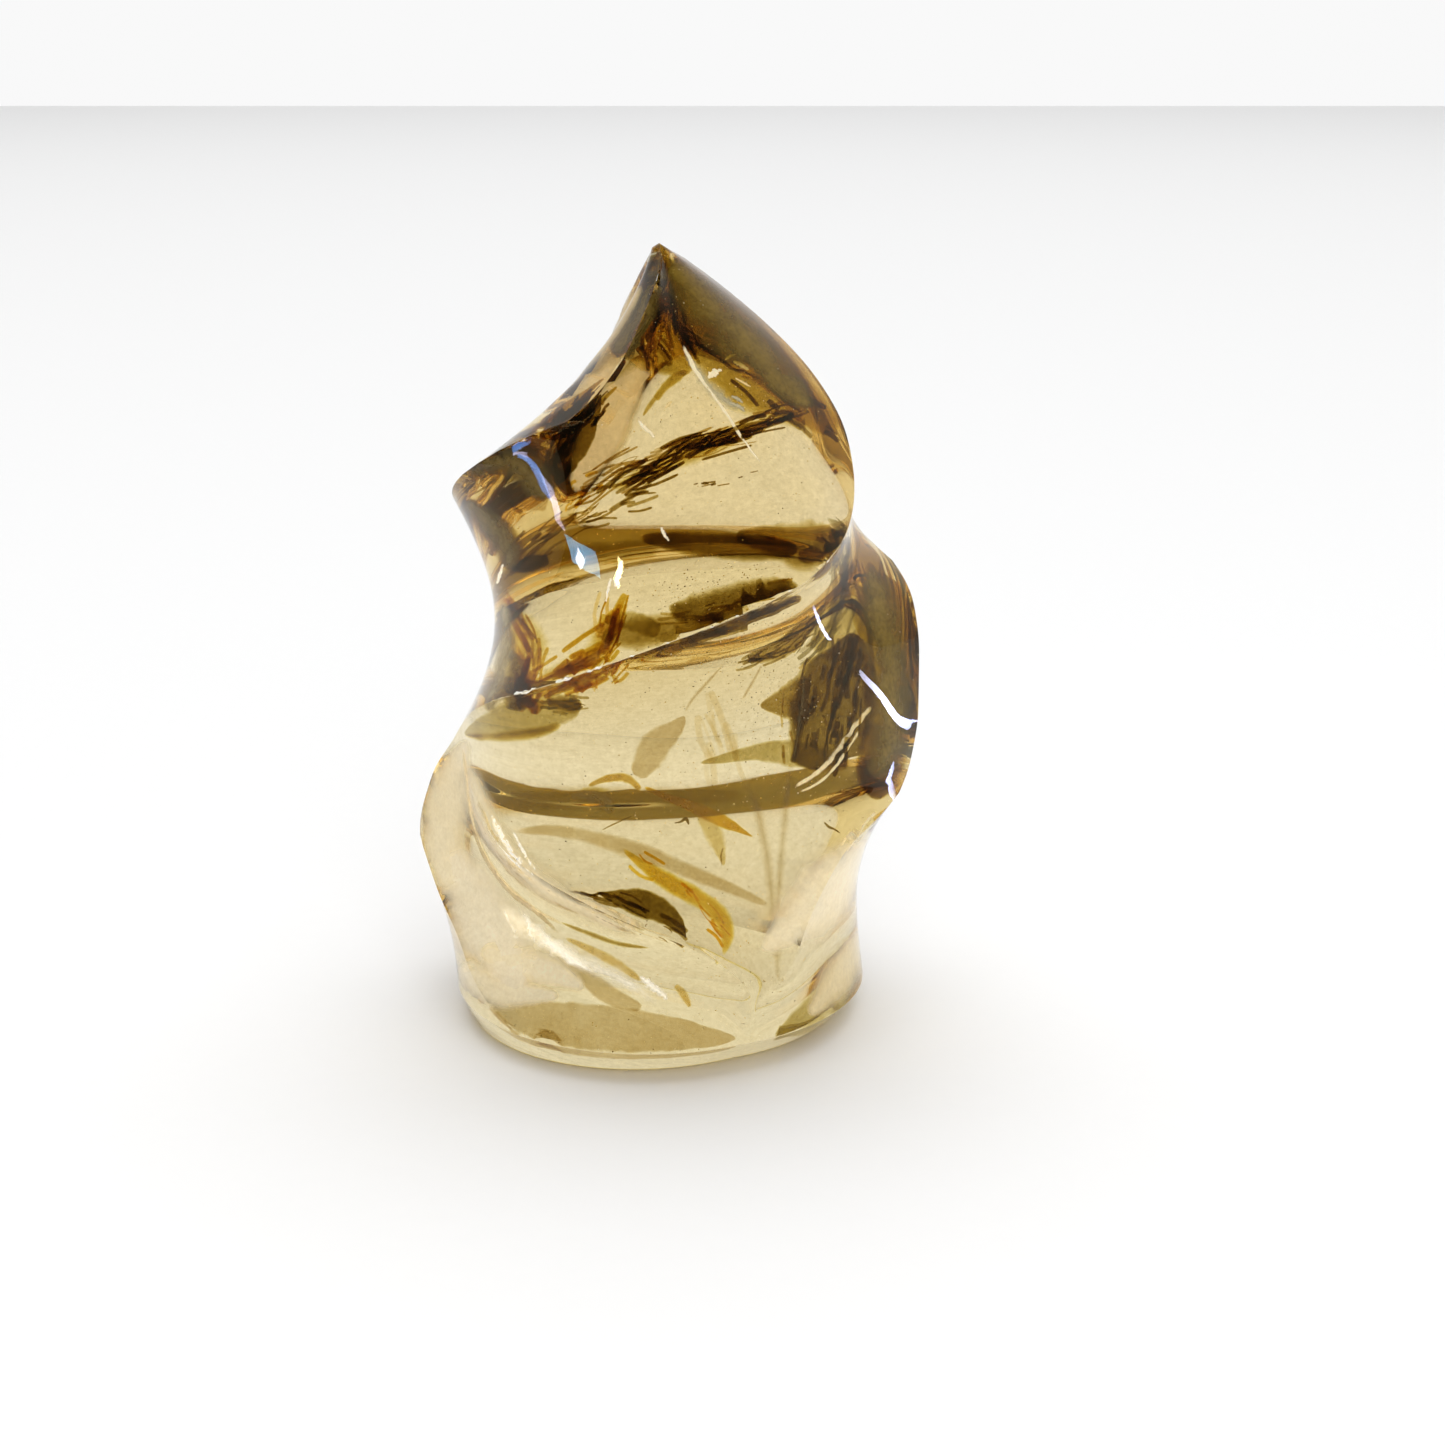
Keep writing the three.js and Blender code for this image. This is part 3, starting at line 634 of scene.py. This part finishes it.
def drawn_out(form, sight, name, line, depth, thickness, tint, softness, ragged=0.12):
    """A copy of the sphere drawn out along a line of the front view, into a thin body in the stone."""
    body = form.copy()
    body.data = form.data.copy()
    body.name = name
    bpy.context.scene.collection.objects.link(body)
    mesh = body.data
    shares = []
    seed = sum(ord(letter) for letter in name)
    for vertex in mesh.vertices:
        x, y, z = vertex.co
        girth = math.hypot(x, y)
        across, over = (x / girth, y / girth) if girth > 1e-6 else (0.0, 0.0)
        t = (1 + z) / 2
        (px, py, width), (dx, dy, _) = smooth_line(line, t)
        stride = math.hypot(dx, dy) or 1.0
        fray = 1 + ragged * noise.noise(Vector((t * 14, across * 1.5, seed)))
        reach = max(width, 0.3) * min(1.0, girth / 0.5) * across * fray
        offset = (-dy / stride * reach, dx / stride * reach)
        lift = thickness * MM / 2 * over * min(1.0, girth / 0.5)
        shares.append((t, (across * min(1.0, girth / 0.2) + 1) / 2))
        vertex.co = sight.within((px, py), offset, depth * MM + lift)
    layer = mesh.uv_layers[0]
    for loop in mesh.loops:
        layer.uv[loop.index].vector = shares[loop.vertex_index]
    paint = mesh.color_attributes.new("tint", "FLOAT_COLOR", "POINT")
    for item in paint.data:
        item.color = (*tint, softness)
    return body


def as_one(name, bodies, form, material):
    """Joins bodies into one closed, smooth piece, and puts their pattern away."""
    bpy.data.objects.remove(form)
    bpy.ops.object.select_all(action="DESELECT")
    for body in bodies:
        body.select_set(True)
    bpy.context.view_layer.objects.active = bodies[0]
    bpy.ops.object.join()
    piece = alone(bpy.context.object)
    piece.name = name
    bpy.ops.object.mode_set(mode="EDIT")
    bpy.ops.mesh.select_all(action="SELECT")
    bpy.ops.mesh.normals_make_consistent(inside=False)
    bpy.ops.object.mode_set(mode="OBJECT")
    bpy.ops.object.shade_smooth()
    settle(piece, material)
    return piece


def settle(body, material):
    """Gives a finished inclusion its material and ties it to the stone."""
    body.data.materials.clear()
    body.data.materials.append(material)
    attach(body, BODY)


def edge_fade(tree, uv, softness, wander):
    """1 in the middle of a drawn-out body, falling to 0 at its wandering edges and its ends."""
    axes = add_node(tree, "SeparateXYZ", Vector=uv)
    sides = []
    for axis, reach in (("Y", 1.0), ("X", 4.0)):
        middle = calculate(tree, "ABSOLUTE", calculate(tree, "SUBTRACT", axes.outputs[axis], 0.5))
        inward = calculate(tree, "MULTIPLY", calculate(tree, "SUBTRACT", 0.5, middle), 2.0 * reach)
        inward = calculate(tree, "ADD", inward, wander)
        node = add_node(tree, "MapRange", Value=inward, From_Max=softness)
        node.interpolation_type = "SMOOTHSTEP"
        sides.append(node.outputs["Result"])
    return calculate(tree, "MULTIPLY", *sides)


def vertex_tint(tree):
    """The tint that is painted on the points of a mesh, with its softness as alpha."""
    paint = add_node(tree, "VertexColor")
    paint.layer_name = "tint"
    return paint.outputs


def film_material(name, grain, contrast, wander=0.0, scatter=0.0, glow=0.0, dust=0.7):
    """A tinted film in the stone: it filters what is behind it, and scatters a share of the light, with a
    painted glow of its own tint when glow is given.

    grain is the mottling in patterns per metre. contrast, wander and dust say how far the
    mottling changes the film's strength and its edges, and how strong the finest speckle is."""
    material, tree, output = new_material(name)
    paint = vertex_tint(tree)
    coords = add_node(tree, "TexCoord").outputs
    cloud = centred_noise(tree, coords["Object"], grain, 4.0, 0.7)
    speck = centred_noise(tree, coords["Object"], 2200.0, 1.0)
    fade = edge_fade(tree, coords["UV"], paint["Alpha"], calculate(tree, "MULTIPLY", cloud, wander))
    mottle = calculate(tree, "MULTIPLY_ADD", cloud, contrast, 1.0)
    mottle = calculate(tree, "MULTIPLY_ADD", speck, dust, mottle)
    amount = calculate(tree, "MAXIMUM", calculate(tree, "MULTIPLY", fade, mottle), 0.0)
    tint = add_node(tree, "Gamma", Color=paint["Color"], Gamma=amount).outputs[0]
    film = add_node(tree, "BsdfTransparent", Color=tint)
    if scatter:
        # The scattered share carries a painted glow: its emission gives off the film's own tint.
        milky = add_node(tree, "BsdfPrincipled", Base_Color=paint["Color"], Roughness=0.5,
                         Emission_Color=paint["Color"], Emission_Strength=glow)
        held = calculate(tree, "MULTIPLY", amount, scatter)
        held.node.use_clamp = True
        mix = add_node(tree, "MixShader")
        for socket, source in zip(mix.inputs, (held, film.outputs[0], milky.outputs[0])):
            tree.links.new(source, socket)
        film = mix
    tree.links.new(film.outputs[0], output.inputs["Surface"])
    return material


def stone_sight(context):
    return Sight(bpy.data.objects["flame_stone"], context.scene.flame_stone.ior)


def layers(name, zones, material, context, halved=True, ragged=0.12):
    """Draws every zone of a kind and joins them into one piece.

    Light crosses two skins of each body, so a tint that only filters is halved between them."""
    sight = stone_sight(context)
    form = pattern(16, 40)
    made = []
    for part, (tint, softness, depth, thickness, line) in zones.items():
        through = tuple(math.sqrt(c) for c in tint) if halved else tint
        made.append(drawn_out(form, sight, part, line, depth, thickness, through, softness, ragged))
    as_one(name, made, form, material)


class FLAME_OT_smoke_and_shade(bpy.types.Operator):
    """Lays the smoky brown zones, and the painted shade of the dark bands and lenses seen through the stone
    """
    bl_idname = "flame.smoke"
    bl_label = "Smoky zones"

    def execute(self, context):
        layers("smoke_and_shade_zones", SMOKE_AND_SHADE_ZONES, film_material("smoke_and_shade_film", 170.0, 1.1, wander=0.6), context)
        return {"FINISHED"}


class FLAME_OT_stains(bpy.types.Operator):
    """Lays the golden iron stains in the healed cracks"""
    bl_idname = "flame.stains"
    bl_label = "Iron stains"

    def execute(self, context):
        gold = film_material("iron_stain", 300.0, 1.6, 0.6, scatter=0.2)
        layers("iron_stains", IRON_STAINS, gold, context)
        return {"FINISHED"}


class FLAME_OT_cracks_and_glints(bpy.types.Operator):
    """Opens the silvery cracks and flakes, and lays the painted glints and highlights among them"""
    bl_idname = "flame.cracks"
    bl_label = "Open cracks"

    def execute(self, context):
        silver = film_material("crack_and_glint_film", 500.0, 1.2, 0.5, scatter=0.8, glow=0.5)
        layers("cracks_and_glints", CRACKS_AND_GLINTS, silver, context, halved=False, ragged=0.9)
        return {"FINISHED"}


class FLAME_OT_clouds(bpy.types.Operator):
    """Lays the golden clouds with their painted glow, the pale clouds and flank lines of painted light, and
    the milky veils
    """
    bl_idname = "flame.clouds"
    bl_label = "Clouds and veils"

    def execute(self, context):
        gold = film_material("golden_cloud", 260.0, 2.2, 0.9, scatter=0.5, glow=0.45)
        layers("golden_clouds", GOLDEN_CLOUDS, gold, context, halved=False)
        # Painted light: the pale clouds and the lines of the left flank glow and pale what lies behind them.
        pale = film_material("painted_light_film", 90.0, 0.7, 0.5, scatter=0.8, glow=0.5, dust=0.15)
        layers("painted_light_clouds", PAINTED_LIGHT_CLOUDS, pale, context, halved=False)
        lines = film_material("flank_light_line", 300.0, 1.6, 0.9, scatter=0.6, glow=0.45)
        layers("flank_light_lines", FLANK_LIGHT_LINES, lines, context, halved=False)
        milk = film_material("milky_veil", 260.0, 1.6, 0.6, scatter=0.12)
        layers("milky_veils", MILKY_VEILS, milk, context)
        return {"FINISHED"}


# Little chips along the main ridge, across, down and size, and the line on which it is rubbed.
CHIPS = ((518, 690, 3.4), (526, 688, 4.0), (533, 686, 2.2), (560, 680, 3.6), (567, 678, 3.8),
         (590, 673, 2.4), (598, 672, 3.0), (632, 659, 2.0), (668, 648, 1.2), (712, 630, 1.3),
         (737, 619, 1.5), (790, 591, 1.5), (828, 555, 1.4))
RIDGE = ((474, 722), (512, 694), (556, 681), (600, 671), (650, 655), (700, 635), (750, 612),
         (790, 591), (826, 558), (840, 541))
# The form of a chip for a size of 1: along the ridge, away from it, and half the width there.
CHIP_FORM = ((-1.3, 0.3, 0.15), (-0.3, -0.3, 0.5), (0.5, 0.4, 0.35), (1.4, 0, 0.1))
ON_THE_POLISH = -0.03  # the depth in millimetres of what lies a hair in front of the polish
RUB_STEPS = (0, 0.33, 0.67, 1)


def chip_line(sight, across, down, size):
    """The line of a chip that follows the crest of the ridge."""
    rise = sight.crest(across + 9, down - 4) - sight.crest(across - 9, down + 4)
    heading = math.atan2(rise, 18)
    top = sight.crest(across, down)
    return [(across + math.cos(heading) * size * along, top + math.sin(heading) * size * along + lift,
             size * wide) for along, lift, wide in CHIP_FORM]


def rub_line(sight, start, end):
    """The line of a rubbed stretch of the ridge, between two of its points."""
    steps = [(start[0] + (end[0] - start[0]) * k, start[1] + (end[1] - start[1]) * k) for k in RUB_STEPS]
    return [(x, sight.crest(x, y), 0.6) for x, y in steps]


class FLAME_OT_chips(bpy.types.Operator):
    """Rubs the ridge and breaks tiny chips out of it"""
    bl_idname = "flame.chips"
    bl_label = "Chips"

    def execute(self, context):
        sight = stone_sight(context)
        form = pattern(8, 12)
        chance = random.Random(3)
        made = []
        for index, chip in enumerate(CHIPS):
            line = chip_line(sight, *chip)
            tint = tuple(c * chance.uniform(0.9, 0.93) for c in WHITE)
            made.append(drawn_out(form, sight, f"chip_{index}", line, ON_THE_POLISH, 0.03, tint, 0.3, 0.9))
        for index, ends in enumerate(zip(RIDGE, RIDGE[1:])):
            line = rub_line(sight, *ends)
            made.append(drawn_out(form, sight, f"rub_{index}", line, ON_THE_POLISH, 0.02, CREAM, 1.6, 0.6))
        # The chips and the rubbed line get a painted glow.
        as_one("chips", made, form, film_material("chipped", 900.0, 1.0, 0.4, scatter=0.7, glow=0.25))
        return {"FINISHED"}


EDGE_MARGIN = 8  # how far a fibre keeps from the sides of the stone in the front view


def fibre_line(chance, line, stray, longest, widest):
    """A short, slightly bowed line somewhere along a longer one."""
    (px, py), (dx, dy) = smooth_line(line, chance.random())
    turn = math.atan2(dy, dx) + chance.gauss(0, 0.10)
    aside = chance.gauss(0, stray * 0.5)
    half = longest * chance.uniform(0.15, 0.5)
    wide = widest * chance.uniform(0.25, 1.0)
    px, py = px - math.sin(turn) * aside, py + math.cos(turn) * aside
    bow = chance.gauss(0, 0.12) * half
    return [(px + math.cos(turn) * half * k - math.sin(turn) * bow * (1 - k * k),
             py + math.sin(turn) * half * k + math.cos(turn) * bow * (1 - k * k), wide) for k in (-1, 0, 1)]


class FLAME_OT_fibres(bpy.types.Operator):
    """Strews the fine brown and golden fibres that grain the smoky zones and the slanting veil"""
    bl_idname = "flame.fibres"
    bl_label = "Fibres"

    def execute(self, context):
        sight = stone_sight(context)
        form = pattern(6, 8)
        chance = random.Random(11)
        made = []
        for kind, (count, tint, stray, longest, widest, line) in FIBRES.items():
            for index in range(count):
                run = fibre_line(chance, line, stray, longest, widest)
                strength = 0.5 * chance.uniform(0.6, 1.4)
                through = tuple(c ** strength for c in tint)
                depth = chance.uniform(2.5, 7.5)
                if all(sight.meet(x + side, y) for x, y, _ in run for side in (-EDGE_MARGIN, EDGE_MARGIN)):
                    made.append(drawn_out(form, sight, f"{kind}_{index}", run, depth, 0.15, through, 0.6))
        as_one("fibres", made, form, film_material("fibre", 400.0, 1.0))
        return {"FINISHED"}


# Where the dust lies thickest in the front view and how far it spreads, and where the rest may lie.
SPECK_CLOUDS = (((835, 700), (34, 40)), ((720, 600), (40, 18)), ((690, 320), (36, 40)),
                ((760, 380), (36, 26)), ((745, 725), (50, 40)), ((800, 690), (26, 26)))
SPECK_SPAN = ((430, 920), (243, 1060))
SPECK_TINTS = ((0.85, 0.65, 0.22), (0.95, 0.85, 0.55), (1.0, 0.97, 0.88), (0.10, 0.06, 0.01),
               (0.22, 0.14, 0.03), (0.55, 0.38, 0.08))
SPECK_SIZES = (0.5, 0.6, 0.8, 1.2)


def speck_place(chance, gathered):
    """A place in the front view, in one of the clouds or anywhere."""
    if chance.random() < gathered:
        (across, down), (spread, fall) = chance.choice(SPECK_CLOUDS)
        return chance.gauss(across, spread), chance.gauss(down, fall)
    return tuple(chance.uniform(*span) for span in SPECK_SPAN)


def speck_material(settings):
    """Opaque little grains with a painted glow of their own tint."""
    material, tree, output = new_material("speck")
    paint = vertex_tint(tree)
    grain = add_node(tree, "BsdfPrincipled", Base_Color=paint["Color"], Roughness=0.35,
                     Emission_Color=paint["Color"], Emission_Strength=settings.glint)
    tree.links.new(grain.outputs[0], output.inputs["Surface"])
    return material


class FLAME_OT_specks(bpy.types.Operator):
    """Sprinkles the dust of golden, white and dark specks all through the stone"""
    bl_idname = "flame.specks"
    bl_label = "Specks"

    def execute(self, context):
        settings = context.scene.flame_specks
        sight = stone_sight(context)
        grain = pattern(4, 2)
        chance = random.Random(5)
        dust = bmesh.new()
        paint = dust.verts.layers.float_color.new("tint")
        placed = 0
        while placed < settings.count:
            met = sight.meet(*speck_place(chance, settings.gathered))
            if met is None:
                continue
            place, inside, far = met
            centre = place + inside * far * chance.uniform(0.06, 0.6)
            size = settings.grain * chance.choice(SPECK_SIZES)
            tint = chance.choice(SPECK_TINTS)
            first = len(dust.verts)
            dust.from_mesh(grain.data)
            dust.verts.ensure_lookup_table()
            stretch = Vector([chance.uniform(0.5, 1.4) for _ in range(3)])
            for vertex in dust.verts[first:]:
                vertex.co = centre + vertex.co * stretch * size
                vertex[paint] = (*tint, 1)
            placed += 1
        mesh = bpy.data.meshes.new("specks")
        dust.to_mesh(mesh)
        dust.free()
        bpy.data.objects.remove(grain)
        piece = bpy.data.objects.new("specks", mesh)
        context.scene.collection.objects.link(piece)
        settle(piece, speck_material(settings))
        return {"FINISHED"}


# ---------------------------------------------------------------- the stage

def area_light(name, at, aim, width, height, power, tint, seen_through=False, mirrored=False):
    """A soft panel of light at a place, turned to its aim."""
    bpy.ops.object.light_add(type="AREA", location=at)
    lamp = bpy.context.object
    lamp.name = name
    lamp.rotation_euler = (Vector(aim) - Vector(at)).to_track_quat("-Z", "Y").to_euler()
    lamp.data.shape = "RECTANGLE"
    lamp.data.size, lamp.data.size_y = width, height
    lamp.data.energy = power
    lamp.data.color = tint
    lamp.visible_camera = False
    lamp.visible_transmission = seen_through
    lamp.visible_glossy = mirrored
    return lamp


# The soft boxes: place, aim, width, height, watts, colour and whether they show through the stone.
PLAIN = (1.0, 1.0, 1.0)
SOFT_BOXES = {
    "top_softbox": ((0.0, 0.15, 2.6), (0, 0.15, 0), 3.0, 3.0, 42, PLAIN, True),
    "back_softbox": ((0.0, 2.8, 2.6), (0, 2.8, 0), 3.0, 3.0, 16, PLAIN),
    "front_fill": ((0.1, -0.7, 0.6), (0, 0, 0), 0.5, 0.5, 2.0, PLAIN),
}

# Daylight caught on the polish: the line that each glint follows in the front view, its width there,
# how bright its window is and the window's colour, then how far off the window stands and how
# wide it shines, where these differ from the others.
BLUE = (0.07, 0.20, 1.0)
LAVENDER = (0.28, 0.34, 1.0)
CYAN = (0.08, 0.32, 1.0)
DAYLIGHT = (0.42, 0.50, 1.0)
LAMPLIGHT = (0.90, 0.95, 1.0)
GLINTS = {
    "strip_top": ((530, 443), (551, 500), 9, 44, BLUE),
    "strip_low": ((544, 478), (560, 528), 6, 50, LAVENDER),
    "patch": ((580, 541), (586, 572), 26, 40, CYAN, 0.09, math.radians(60)),
    "patch_heart": ((575, 553), (583, 566), 7, 80, DAYLIGHT),
    "neck_glint": ((622, 560), (617, 586), 5, 60, LAMPLIGHT),
    "right_streak": ((858, 674), (908, 724), 5, 90, DAYLIGHT, 0.06, math.radians(26)),
}


def glint_light(sight, name, start, end, width, brightness, tint, reach=0.09, beam=math.radians(36)):
    """A window whose mirror image on the stone runs from start to end in the front view."""
    def thrown(across, down):
        place, course = sight.mirror(across, down)
        return place + course * reach

    run = Vector((end[0] - start[0], end[1] - start[1])).normalized()
    middle = ((start[0] + end[0]) / 2, (start[1] + end[1]) / 2)
    ends = [thrown(*at) for at in (start, end)]
    sides = [thrown(middle[0] - run.y * side, middle[1] + run.x * side) for side in (-width / 2, width / 2)]
    centre = (ends[0] + ends[1]) / 2
    place = sight.mirror(*middle)[0]
    along = ends[1] - ends[0]
    back = (centre - place).normalized()
    up = (along - back * along.dot(back)).normalized()
    across = (sides[1] - sides[0]).cross(up).length
    lamp = area_light(name, centre, place, across, along.length, 1.0, tint, mirrored=True)
    lamp.rotation_euler = Matrix((up.cross(back), up, back)).transposed().to_euler()
    lamp.data.spread = beam
    narrowing = 1 - beam / 2 / math.tan(beam / 2)
    lamp.data.energy = brightness * math.pi * lamp.data.size * lamp.data.size_y * narrowing
    lamp.visible_diffuse = False


def lay_floor(settings):
    """The pale matt floor, a hair below the foot."""
    bpy.ops.object.select_all(action="DESELECT")
    bpy.ops.mesh.primitive_plane_add(size=settings.floor_size, location=(0, 0, -settings.floor_gap))
    floor = bpy.context.object
    floor.name = "floor"
    bpy.ops.object.transform_apply(location=True, rotation=True, scale=True)
    material, tree, output = new_material("pale_floor")
    grain = noise_at(tree, add_node(tree, "TexCoord").outputs["Object"], 400.0)
    low, high = (tuple(c * k for c in settings.floor_colour) for k in (0.995, 1.0))
    tint = ramp(tree, grain, (0.3, low), (0.7, high))
    matt = add_node(tree, "BsdfPrincipled", Base_Color=tint, Roughness=0.7, Specular_IOR_Level=0.1)
    tree.links.new(matt.outputs[0], output.inputs["Surface"])
    floor.data.materials.append(material)


def light_room(scene, settings):
    """Even light from the room: bright behind and above the stone, dim on the camera's side."""
    world = bpy.data.worlds.new("studio")
    scene.world = world
    world.use_nodes = True
    tree = world.node_tree
    sky = tree.nodes["Background"]
    sky.inputs["Strength"].default_value = settings.room
    place = add_node(tree, "TexCoord").outputs["Generated"]
    axes = add_node(tree, "SeparateXYZ", Vector=place).outputs
    turn = add_node(tree, "VectorMath")
    turn.operation = "DOT_PRODUCT"
    feed(tree, turn.inputs[0], place)
    feed(tree, turn.inputs[1], settings.wall_side)
    wall = add_node(tree, "MapRange", Value=turn.outputs["Value"], From_Min=0.75, From_Max=0.97)
    wall.interpolation_type = "SMOOTHSTEP"
    above = calculate(tree, "MULTIPLY", axes["Z"], 0.25)
    behind = calculate(tree, "MULTIPLY", axes["Y"], 0.95)
    beside = calculate(tree, "MULTIPLY", wall.outputs["Result"], settings.wall_light)
    lit = calculate(tree, "MAXIMUM", calculate(tree, "ADD", above, behind), beside)
    dim = (settings.room_dim,) * 3
    light = ramp(tree, lit, (0.0, dim), (0.4, (0.97, 0.97, 0.97)), (1.0, (1.0, 1.0, 1.0)))
    tree.links.new(light, sky.inputs["Color"])


def stand_camera(scene):
    """The camera in front of the stone, looking a little down on it."""
    camera = bpy.data.objects.new("camera", bpy.data.cameras.new("camera"))
    scene.collection.objects.link(camera)
    camera.data.sensor_width = SENSOR
    camera.data.lens = LENS
    camera.data.clip_start = 0.01
    camera.location = CAMERA_AT
    camera.rotation_euler = (math.pi / 2 - CAMERA_TILT, 0, 0)
    scene.camera = camera


class FLAME_OT_stage(bpy.types.Operator):
    """Lays the pale floor, hangs the lights and stands the camera"""
    bl_idname = "flame.stage"
    bl_label = "Stage"

    def execute(self, context):
        scene = context.scene
        lay_floor(scene.flame_stage)
        light_room(scene, scene.flame_stage)
        for name, box in SOFT_BOXES.items():
            area_light(name, *box)
        sight = stone_sight(context)
        for name, glint in GLINTS.items():
            glint_light(sight, name, *glint)
        stand_camera(scene)
        scene.view_settings.view_transform = "Standard"
        scene.cycles.max_bounces = 32
        scene.cycles.transmission_bounces = 32
        scene.cycles.glossy_bounces = 12
        scene.cycles.transparent_max_bounces = 96
        return {"FINISHED"}


class FLAME_PT_panel(bpy.types.Panel):
    """Lists the parts of the quartz flame"""
    bl_idname = "FLAME_PT_panel"
    bl_label = "Quartz flame"
    bl_space_type = "VIEW_3D"
    bl_region_type = "UI"
    bl_category = "Quartz flame"

    def draw(self, context):
        for step in STEPS:
            self.layout.operator(step.bl_idname)


STEPS = (FLAME_OT_stone, FLAME_OT_smoke_and_shade, FLAME_OT_stains, FLAME_OT_cracks_and_glints, FLAME_OT_clouds,
         FLAME_OT_chips, FLAME_OT_fibres, FLAME_OT_specks, FLAME_OT_stage)
GROUPS = {"flame_stone": StoneSettings, "flame_specks": SpeckSettings, "flame_stage": StageSettings}


def register():
    for kind in (*GROUPS.values(), *STEPS, FLAME_PT_panel):
        bpy.utils.register_class(kind)
    for name, kind in GROUPS.items():
        setattr(bpy.types.Scene, name, PointerProperty(type=kind))


def unregister():
    for name in GROUPS:
        delattr(bpy.types.Scene, name)
    for kind in (FLAME_PT_panel, *reversed(STEPS), *GROUPS.values()):
        bpy.utils.unregister_class(kind)


def main():
    register()
    for step in STEPS:
        group, action = step.bl_idname.split(".")
        getattr(getattr(bpy.ops, group), action)()


if __name__ == "__main__":
    main()
